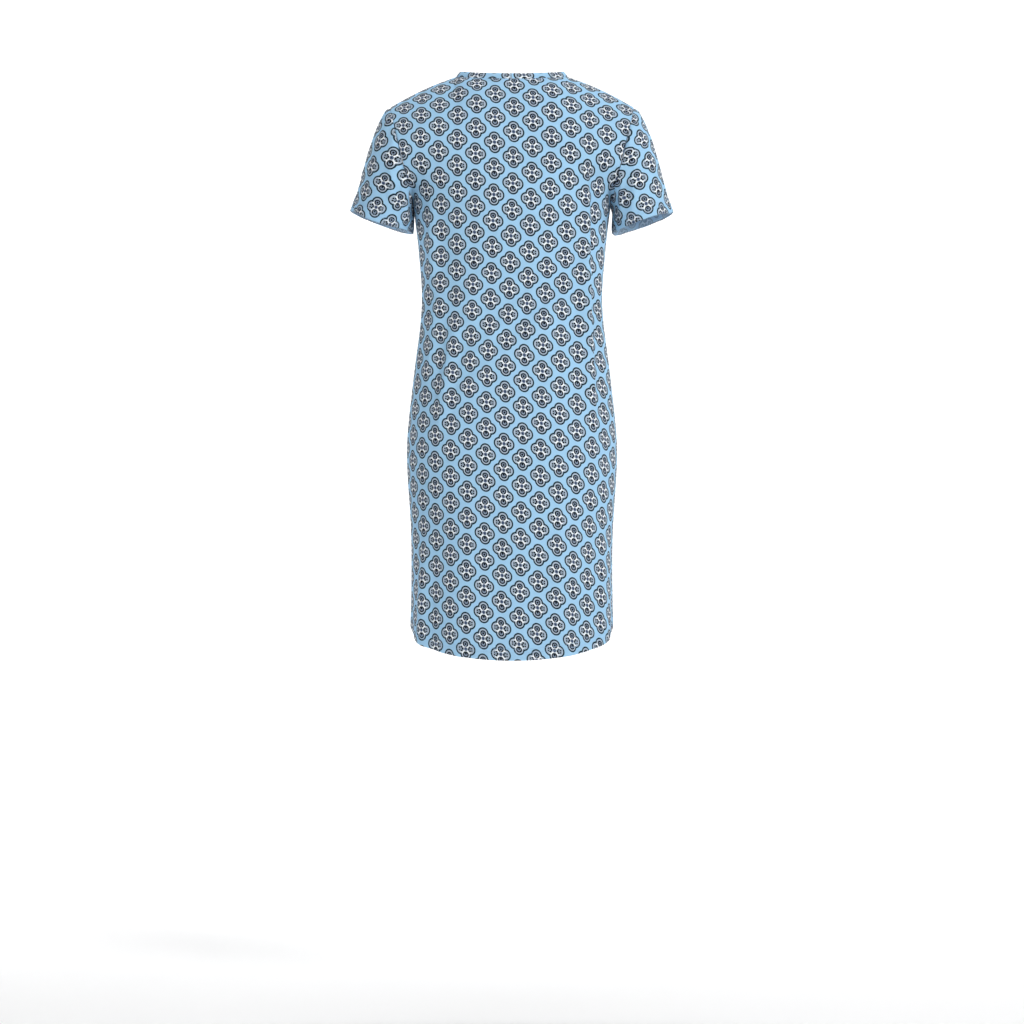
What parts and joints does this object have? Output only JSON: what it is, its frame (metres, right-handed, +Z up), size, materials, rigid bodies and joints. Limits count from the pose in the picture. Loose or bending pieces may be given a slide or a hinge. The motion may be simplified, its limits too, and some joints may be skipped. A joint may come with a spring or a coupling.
{
  "type": "patient gown",
  "caption": "Pull-on knitted patient gown with a closed back, short set-in sleeves, narrow neckband, curved shirt-tail hem and notched side seams.",
  "frame": {"origin": "between the wearer's shoulders, on the centre line, level with the neck seam at the side of the neck, where the wearer or a hanger holds the gown", "axes": "+Z up; the wearer faces +Y, so the back panel faces -Y; +X is the wearer's right side"},
  "size_m": [0.532, 0.2447, 0.9638],
  "materials": {
    "printed_jersey": "sky blue single jersey knit with an all-over print of outlined four-lobed medallions, soft and matt",
    "jersey_reverse": "reverse side of the same jersey, with the print showing through faintly",
    "overlock_thread": "overlocked seam edge in pale blue thread",
    "neck_tape": "plain sky blue herringbone tape",
    "blank_label": "blank woven satin label"
  },
  "bodies": {
    "gown_body": {"back_panel": "printed_jersey", "front_panel": "printed_jersey", "neckband": "printed_jersey", "back_neck_tape": "neck_tape", "left_armhole_seam": "overlock_thread", "right_armhole_seam": "overlock_thread", "left_side_seam": "overlock_thread", "right_side_seam": "overlock_thread", "left_shoulder_seam": "overlock_thread", "right_shoulder_seam": "overlock_thread", "left_notch_tack": "overlock_thread", "right_notch_tack": "overlock_thread", "back_hem": "jersey_reverse", "front_hem": "jersey_reverse"},
    "left_sleeve_body": {"left_sleeve": "printed_jersey", "left_sleeve_hem": "jersey_reverse", "left_sleeve_seam": "overlock_thread"},
    "right_sleeve_body": {"right_sleeve": "printed_jersey", "right_sleeve_hem": "jersey_reverse", "right_sleeve_seam": "overlock_thread"},
    "size_label_flap": {"size_label": "blank_label"},
    "care_label_flap": {"care_label": "blank_label"}
  },
  "joints": [
    {"name": "left_sleeve_swing", "type": "hinge", "parent": "gown_body", "child": "left_sleeve_body", "pos_m": [-0.181, 0, -0.134], "axis": [0.9716, 0, 0.2367], "range_deg": [-35, 60]},
    {"name": "right_sleeve_swing", "type": "hinge", "parent": "gown_body", "child": "right_sleeve_body", "pos_m": [0.181, 0, -0.134], "axis": [0.9716, 0, -0.2367], "range_deg": [-35, 60]},
    {"name": "size_label_flip", "type": "hinge", "parent": "gown_body", "child": "size_label_flap", "pos_m": [0, -0.058, -0.024], "axis": [1, 0, 0], "range_deg": [-8, 110]},
    {"name": "care_label_flip", "type": "hinge", "parent": "gown_body", "child": "care_label_flap", "pos_m": [-0.1632, 0, -0.7], "axis": [0, 0, -1], "range_deg": [-33, 120]}
  ]
}
